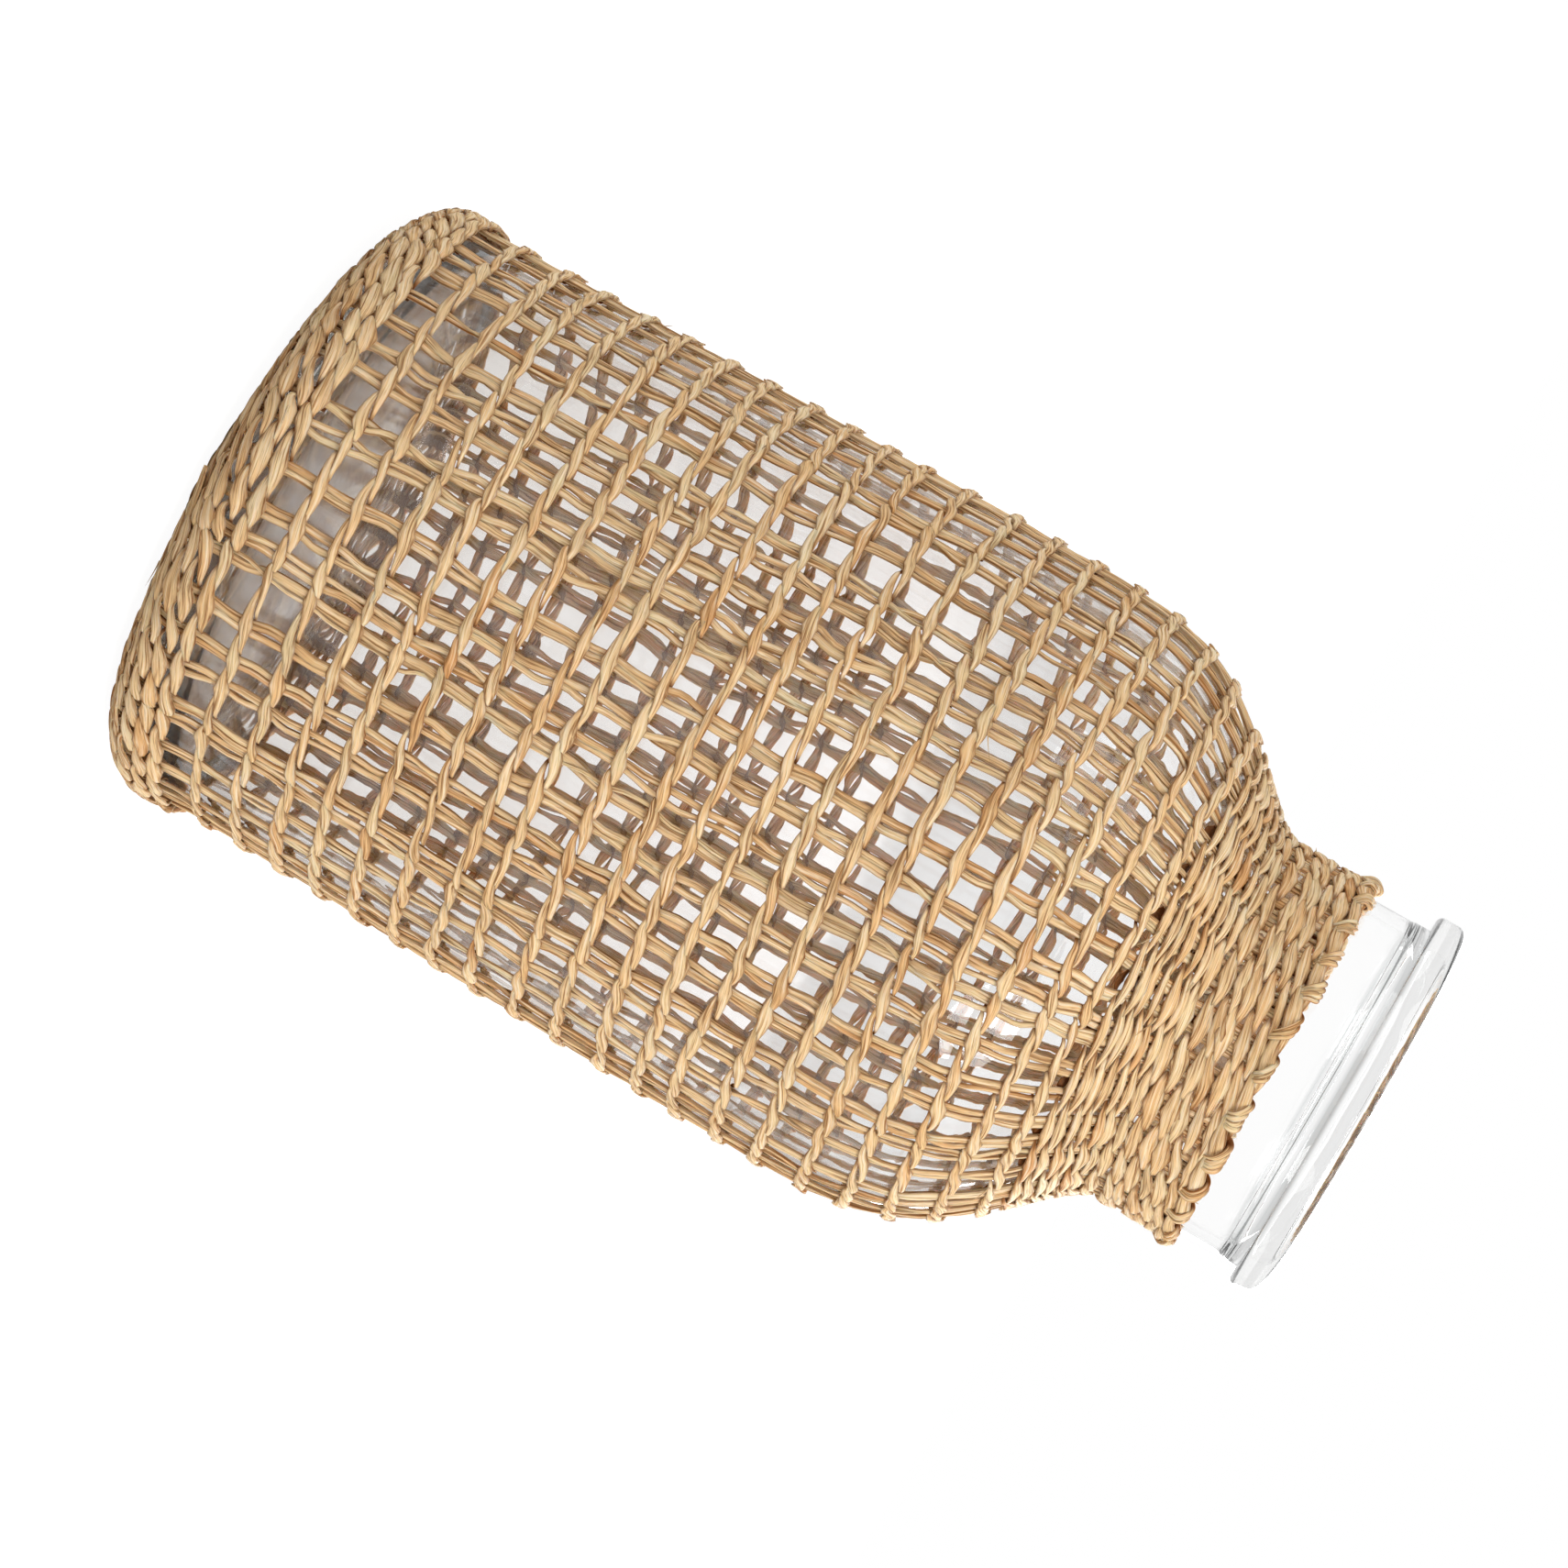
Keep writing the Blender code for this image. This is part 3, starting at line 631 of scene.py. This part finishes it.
def borderCore(look):
    # one plain strand behind the twined pair fills the edge up to its top
    u = np.arange(look["wraps"] * 12) / 12
    return dict(
        closed=True, angle=u * wrapStep,
        length=borderMiddle - look["coreDrop"] + drift(u, look["wraps"], 0.2 * mm, 9),
        out=look["coreOut"] + 0 * u, reach=look["rope"]["reach"], width=look["coreWidth"] + 0 * u,
        thick=look["coreThick"] + 0 * u, tilt=0 * u, fold=0 * u, crease=0.3,
        tint=0.45 + drift(u, look["wraps"], 0.1, 9), shift=0 * u, seed=rng.uniform(0, 2))


def borderWraps(look):
    # bundles of 2 to 4 plies: up inside as sin(200 t)^0.8 to the top at t = 0.45, then down outside as
    # cos(164 (t - 0.45))^0.9 past the border's foot; out = 2.4 - 1.8 cos(207 t) mm, tucked in at the end
    strands = []
    for wrap in range(look["wraps"]):
        middle = (wrap + 0.5) * wrapStep + rng.normal(0, 0.09) * wrapStep
        slant = look["slant"] * rng.normal(1, 0.18) / bottle["neckRadius"]
        top = borderHalf + look["peak"] + rng.normal(0, 0.3) * mm
        foot = rng.uniform(-0.5, 0.9) * mm
        stem = rng.choice(tones["values"], p=tones["shares"])
        plies = rng.choice(look["plies"], p=look["plyShares"])
        for ply in range(plies):
            t = np.linspace(0, 1, 24)
            beside = (ply - (plies - 1) / 2) * look["ply"] + rng.normal(0, 0.15) * mm
            beside = beside / bottle["neckRadius"]
            spread = 0.85 + 0.3 * np.sin(np.pi * t) ** 2 - 0.35 * t ** 3
            inside = -borderHalf + (top + borderHalf) * np.sin(np.pi * np.minimum(t, 0.45) / 0.9) ** 0.8
            fall = np.cos(np.pi * np.maximum(t - 0.45, 0) / 1.1) ** 0.9
            outside = -borderHalf - foot + (top + borderHalf + foot) * fall
            tuck = np.clip((t - 0.80) / 0.20, 0, 1)
            strands.append(dict(
                closed=False, reach=look["reach"], angle=middle + beside * spread + slant * (t - 0.62),
                out=2.4 * mm - 1.8 * mm * np.cos(np.pi * np.clip(t * 1.15, 0, 1)) - 1.5 * mm * tuck ** 1.5,
                length=borderMiddle + np.where(t < 0.45, inside, outside) + rng.normal(0, 0.15) * mm,
                width=look["wrapWidth"] * rng.normal(1, 0.14) * (0.75 + 0.25 * np.sin(np.pi * t)),
                thick=look["wrapThick"] + 0 * t, tilt=rng.normal(0, 0.2) + 0 * t,
                fold=rng.uniform(-0.6, 0.6) + 0 * t, crease=twining["crease"],
                tint=stem + rng.normal(0, 0.09) + 0 * t, shift=rng.uniform(0, 3) + 0 * t,
                seed=rng.uniform(0, 2)))
    return strands


plait = twinedRow(borderMiddle - border["ropeDrop"], border["rope"])
plait += [borderCore(border)] + borderWraps(border)
piece = strandsToObject("border_plait", plait, border["sides"], borderMaterial)
dress(piece, "border_fibre", "border_braid")
print("border plaited")


# Woven base: twined rings from the middle out to the first band row, and a coiled end in the middle
mat = dict(
    pitch=3.3 * mm, first=9.0 * mm, sides=8, coilTurns=2.6, coilRadius=7.2 * mm,
    endAngle=-1.515, endLength=66.2 * mm,
    ring=dict(width=3.5 * mm, thick=1.0 * mm, lift=0.75 * mm, leaf=0.75, point=1.2, taper=0.35, tilt=0.3,
              middle=1.62 * mm, swing=1.0 * mm, reach=3.28 * mm, wander=0.0, arch=0.0, dive=0.45, turn=0.62,
              back=0.4))


def baseMat(look):
    # the coil's radius grows evenly with its turns; the stem's end narrows to both sides as sin(180 t^0.7)
    strands = []
    low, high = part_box("base_band_row_05")
    last = lengthAtHeight((low.z + high.z) / 2, 3.0 * mm) - look["pitch"]
    count = round((last - look["first"]) / look["pitch"])
    for number in range(count + 1):
        length = look["first"] + (last - look["first"]) * number / count
        groups = 54 if length > 46 * mm else 27 if length > 22 * mm else 9
        ring = dict(look["ring"], groups=groups)
        strands += twinedRow(length, ring, wanderSize=0.0, perStake=6 if groups == 54 else 4)
    u = np.linspace(0, 1, 90)
    strands.append(dict(
        closed=False, angle=u * 2 * np.pi * look["coilTurns"], length=0.3 * mm + u * look["coilRadius"],
        out=2.55 * mm + 0 * u, reach=look["ring"]["reach"], width=2.6 * mm + 0 * u, thick=1.2 * mm + 0 * u,
        tilt=0 * u, fold=0 * u, crease=0.3, tint=0.45 + 0 * u, shift=0 * u, seed=0.4))
    t = np.linspace(0, 1, 16)
    strands.append(dict(        # one stem's end at the front
        closed=False, angle=look["endAngle"] + 0.20 * t, length=look["endLength"] + 1.6 * mm * t,
        out=4.7 * mm - 1.8 * mm * t, reach=5 * mm, width=3.0 * mm * (0.2 + 0.8 * np.sin(np.pi * t ** 0.7)),
        thick=1.0 * mm + 0 * t, tilt=0 * t, fold=0 * t, crease=0.3, tint=0.35 + 0 * t, shift=0 * t,
        seed=0.9))
    return strands


piece = strandsToObject("woven_base_mat", baseMat(mat), mat["sides"], matMaterial)
dress(piece, "base_fibre", "woven_base")
print("base woven")


# Glass: turned bottle with a thick floor, rounded heels, a rim bead and the small step under it

def arc(middleX, middleY, radius, first, last, count):
    # part of a circle, between two angles in degrees
    turn = np.radians(np.linspace(first, last, count))
    return np.column_stack([middleX + radius * np.cos(turn), middleY + radius * np.sin(turn)])


def bottleProfile(look):
    # from the middle of the foot up the outside, round the step, bead and lip, and down the inside to the
    # floor; the inside is the outline moved in by the wall, and the floor is a dome (1 - r^2)
    outer = outline + [0, seat]
    neck, top, edge, corner = look["neckRadius"], rimTop, look["beadEdge"], look["beadCorner"]
    beadLow, bead, bore = top - look["beadHeight"], look["beadRadius"], neck - look["wall"]
    stepTop = beadLow - look["stepDrop"]
    belly = outer[outer[:, 1] < stepTop - look["stepEase"]]
    ease = np.linspace(0, 1, 9)
    step = np.column_stack([neck + look["stepOut"] * ease ** 2 * (3 - 2 * ease),
                            stepTop + look["stepEase"] * (ease - 1)])
    groove = [[neck + look["stepOut"], beadLow]]
    underside = arc(bead - edge, beadLow + edge, edge, -90, 0, 6)
    crown = arc(bead - corner, top - corner, corner, 4, 90, 12)
    rounding = look["lipRounding"]
    lip = arc(bore + rounding, top - rounding, rounding, 90, 180, 8)
    inner = outer - look["wall"] * outlineNormal
    heelTop = seat + look["floorThickness"] + look["innerHeelHeight"]
    inner = inner[(outer[:, 1] > heelTop) & (outer[:, 1] < top - look["lipDepth"])][::-1]
    turn = np.radians(np.linspace(90, 0, 14))[1:]
    heel = np.column_stack([inner[-1, 0] - look["innerHeelRadius"] * (1 - np.sin(turn)),
                            heelTop - look["innerHeelHeight"] * np.cos(turn)])
    floorRadius = np.linspace(heel[-1, 0], 0, 26)[1:]
    dome = look["floorDome"] * (1 - (floorRadius / heel[-1, 0]) ** 2)
    floor = np.column_stack([floorRadius, heel[-1, 1] + dome])
    line = np.vstack([belly, step, groove, underside, crown, lip, inner, heel, floor])
    # fewer points where the line is straight: one for each 1.5 degrees of turn or 5 mm of length
    ahead = np.diff(line, axis=0)
    bend = np.abs(np.diff(np.unwrap(np.arctan2(ahead[:, 1], ahead[:, 0]))))
    cost = np.cumsum(np.hypot(*ahead[:-1].T) / look["pointEvery"] + bend / math.radians(look["turnEvery"]))
    keep = np.concatenate([[True], np.diff(np.floor(cost), prepend=-1) > 0, [True]])
    return line[keep]


def turnBottle(name, look, material):
    # the profile carried round the axis, with a ripple of three sines of the angle and height beyond 30 mm;
    # both ends close in a fan at a single point on the axis
    profile = bottleProfile(look)
    body = profile[profile[:, 0] > 0.2 * mm]
    count = look["facets"]
    angle = np.arange(count) * 2 * np.pi / count
    height = body[:, 1][:, None]
    ripple = look["wave"] * (np.sin(3 * angle + 40 * height) + 0.7 * np.sin(5 * angle - 75 * height + 1.3)
                             + 0.5 * np.sin(8 * angle + 120 * height + 0.4))
    radius = body[:, 0][:, None] + ripple * (body[:, 0][:, None] > look["waveAbove"])
    ring = np.stack([radius * np.cos(angle), radius * np.sin(angle),
                     np.broadcast_to(height, radius.shape)], -1)
    points = np.vstack([ring.reshape(-1, 3), [[0, 0, profile[0, 1]], [0, 0, profile[-1, 1]]]])
    rings = len(body)
    row, k = np.meshgrid(np.arange(rings - 1), np.arange(count), indexing="ij")
    after = (k + 1) % count
    quads = np.stack([row * count + k, row * count + after,
                      (row + 1) * count + after, (row + 1) * count + k], -1)
    k = np.arange(count)
    after = (k + 1) % count
    bottom = np.stack([np.full(count, rings * count), after, k], -1)
    last = (rings - 1) * count
    top = np.stack([np.full(count, rings * count + 1), last + k, last + after], -1)
    mesh = bpy.data.meshes.new(name)
    mesh.from_pydata(points.tolist(), [], quads.reshape(-1, 4).tolist() + bottom.tolist() + top.tolist())
    mesh.update()
    mesh.shade_smooth()
    mesh.materials.append(material)
    piece = bpy.data.objects.new(name, mesh)
    bpy.context.scene.collection.objects.link(piece)
    return piece


glass = dict(
    ior=1.48, through="#DFDFDC", density=13.5, shadow="#FAFAFA",
    ripples=120.0, relief=0.11 * mm, reliefStrength=0.35,        # a ripple is about 8 mm long
    heelRoughness=0.14, heelRange=(16 * mm, 30 * mm),
    # by share of the vase's height, all painted shade: a greyer body, and greyer lines at the step, in the
    # groove under the bead and on the lip
    tones=[(0.0, "#F2F0EE"), (0.50, "#F4F2F1"), (0.70, "#FFFFFF"), (0.959, "#FFFFFF"), (0.961, "#E4E6E6"),
           (0.963, "#FFFFFF"), (0.9705, "#FFFFFF"), (0.9725, "#D2D5D5"), (0.9745, "#FFFFFF"),
           (0.994, "#FFFFFF"), (1.0, "#DCDEDE")])


def glassMaterial(name, look):
    # Soda-lime glass, pressed and blown: clear, glossy and gently uneven, with a slightly dull heel. It is
    # faintly grey through its thickness; its blown body and lines at the step, groove and lip are painted a
    # shade greyer as painted shade.
    material, tree = newMaterial(name)
    place = addNode(tree, "TexCoord")
    uneven = addNode(tree, "TexNoise", {"Vector": place.outputs["Object"], "Scale": look["ripples"],
                                        "Detail": 1.5})
    relief = addNode(tree, "Bump", {"Height": uneven.outputs["Fac"], "Strength": look["reliefStrength"],
                                    "Distance": look["relief"]})
    axes = addNode(tree, "SeparateXYZ", {"Vector": place.outputs["Object"]})
    share = addNode(tree, "Math", {0: axes.outputs["Z"], 1: 1 / rimTop}, operation="MULTIPLY")
    # painted shade: the glass's colour greyer by height, in the body and in lines at the step, groove and
    # lip
    grey = addNode(tree, "ValToRGB", {"Fac": share.outputs["Value"]}, stops=look["tones"])
    rough = addNode(tree, "MapRange", {"Value": axes.outputs["Z"], "From Min": look["heelRange"][0],
                                       "From Max": look["heelRange"][1], "To Min": look["heelRoughness"],
                                       "To Max": 0.0})
    shader = addNode(tree, "BsdfPrincipled", {
        "Base Color": grey.outputs["Color"], "Roughness": rough.outputs["Result"], "IOR": look["ior"],
        "Transmission Weight": 1.0, "Normal": relief.outputs["Normal"]})
    clear = addNode(tree, "BsdfTransparent", {"Color": linear(look["shadow"])})
    path = addNode(tree, "LightPath")        # lamps and soft light go straight through to the weave behind
    mix = addNode(tree, "MixShader", {0: path.outputs["Is Diffuse Ray"], 1: shader.outputs["BSDF"],
                                      2: clear.outputs["BSDF"]})
    mix = addNode(tree, "MixShader", {0: path.outputs["Is Shadow Ray"], 1: mix.outputs["Shader"],
                                      2: clear.outputs["BSDF"]})
    tinge = addNode(tree, "VolumeAbsorption", {"Color": linear(look["through"]), "Density": look["density"]})
    addNode(tree, "OutputMaterial", {"Surface": mix.outputs["Shader"], "Volume": tinge.outputs["Volume"]})
    return material


bottleMaterial = glassMaterial("clear soda-lime glass", glass)
dress(turnBottle("glass_bottle_turned", bottle, bottleMaterial), "glass", "glass_bottle")
print("bottle turned")


# Stage: a white floor that keeps a soft shadow, a white surround and soft studio light
stage = dict(
    floorReach=20, paper="#C8C8C8",
    shadow="#606060", glow=0.80, cameraGlow=0.155,        # as the camera, gloss and glass see the floor
    ambient=0.46, high=0.6, fallBetween=(0.10, 0.60))     # soft light; darker overhead in gloss and glass
lamps = dict(
    key=dict(at=(1.3, -1.2, 1.6), size=1.4, watts=42),
    fill=dict(at=(-1.5, -0.9, 1.1), size=1.6, watts=17),
    back=dict(at=(0.3, 1.6, 0.9), size=1.6, watts=52, hidden=True))        # not seen through the glass
lampAim = Vector((0, 0, 0.13))


def makeFloor(look):
    reach = look["floorReach"]
    mesh = bpy.data.meshes.new("white floor")
    corners = [(-reach, -reach, 0), (reach, -reach, 0), (reach, reach, 0), (-reach, reach, 0)]
    mesh.from_pydata(corners, [], [(0, 1, 2, 3)])
    floor = bpy.data.objects.new("white_floor", mesh)
    bpy.context.scene.collection.objects.link(floor)
    # White paper: plain and matt; what the camera, gloss and glass see glows white and keeps a faint shadow
    material, tree = newMaterial("white paper floor")
    paper = addNode(tree, "BsdfDiffuse", {"Color": linear(look["paper"])})
    faint = addNode(tree, "BsdfDiffuse", {"Color": linear(look["shadow"])})
    path = addNode(tree, "LightPath")
    level = addNode(tree, "Math", {0: path.outputs["Is Camera Ray"], 1: look["cameraGlow"], 2: look["glow"]},
                    operation="MULTIPLY_ADD")
    glow = addNode(tree, "Emission", {"Color": (1, 1, 1, 1), "Strength": level.outputs["Value"]})
    both = addNode(tree, "AddShader", {0: faint.outputs["BSDF"], 1: glow.outputs["Emission"]})
    seen = addNode(tree, "Math", {0: path.outputs["Is Camera Ray"], 1: path.outputs["Is Glossy Ray"]},
                   operation="MAXIMUM")
    seen = addNode(tree, "Math", {0: seen.outputs["Value"], 1: path.outputs["Is Transmission Ray"]},
                   operation="MAXIMUM")
    mix = addNode(tree, "MixShader", {0: seen.outputs["Value"], 1: paper.outputs["BSDF"],
                                      2: both.outputs["Shader"]})
    addNode(tree, "OutputMaterial", {"Surface": mix.outputs["Shader"]})
    mesh.materials.append(material)


def makeWorld(look):
    world = bpy.data.worlds.new("white surround")
    bpy.context.scene.world = world
    world.use_nodes = True
    tree = world.node_tree
    tree.nodes.clear()
    soft = addNode(tree, "Background", {"Color": (1, 1, 1, 1), "Strength": look["ambient"]})
    white = addNode(tree, "Background", {"Color": (1, 1, 1, 1), "Strength": 1.0})
    way = addNode(tree, "TexCoord")
    axes = addNode(tree, "SeparateXYZ", {"Vector": way.outputs["Generated"]})
    fall = addNode(tree, "MapRange", {"Value": axes.outputs["Z"], "From Min": look["fallBetween"][0],
                                      "From Max": look["fallBetween"][1], "To Min": 1.0,
                                      "To Max": look["high"]})
    shaded = addNode(tree, "Background", {"Color": (1, 1, 1, 1), "Strength": fall.outputs["Result"]})
    path = addNode(tree, "LightPath")
    seen = addNode(tree, "Math", {0: path.outputs["Is Glossy Ray"], 1: path.outputs["Is Transmission Ray"]},
                   operation="MAXIMUM")
    mix = addNode(tree, "MixShader", {0: seen.outputs["Value"], 1: soft.outputs["Background"],
                                      2: shaded.outputs["Background"]})
    mix = addNode(tree, "MixShader", {0: path.outputs["Is Camera Ray"], 1: mix.outputs["Shader"],
                                      2: white.outputs["Background"]})
    addNode(tree, "OutputWorld", {"Surface": mix.outputs["Shader"]})


def makeLamps(look):
    for name, lamp in look.items():
        data = bpy.data.lights.new(name, "AREA")
        data.shape, data.size, data.energy = "DISK", lamp["size"], lamp["watts"]
        light = bpy.data.objects.new(name, data)
        light.location = lamp["at"]
        light.rotation_euler = (lampAim - light.location).to_track_quat("-Z", "Y").to_euler()
        light.visible_transmission = not lamp.get("hidden", False)
        bpy.context.scene.collection.objects.link(light)


makeFloor(stage)
makeWorld(stage)
makeLamps(lamps)
bpy.context.scene.view_settings.view_transform = "Standard"
print("stage set")
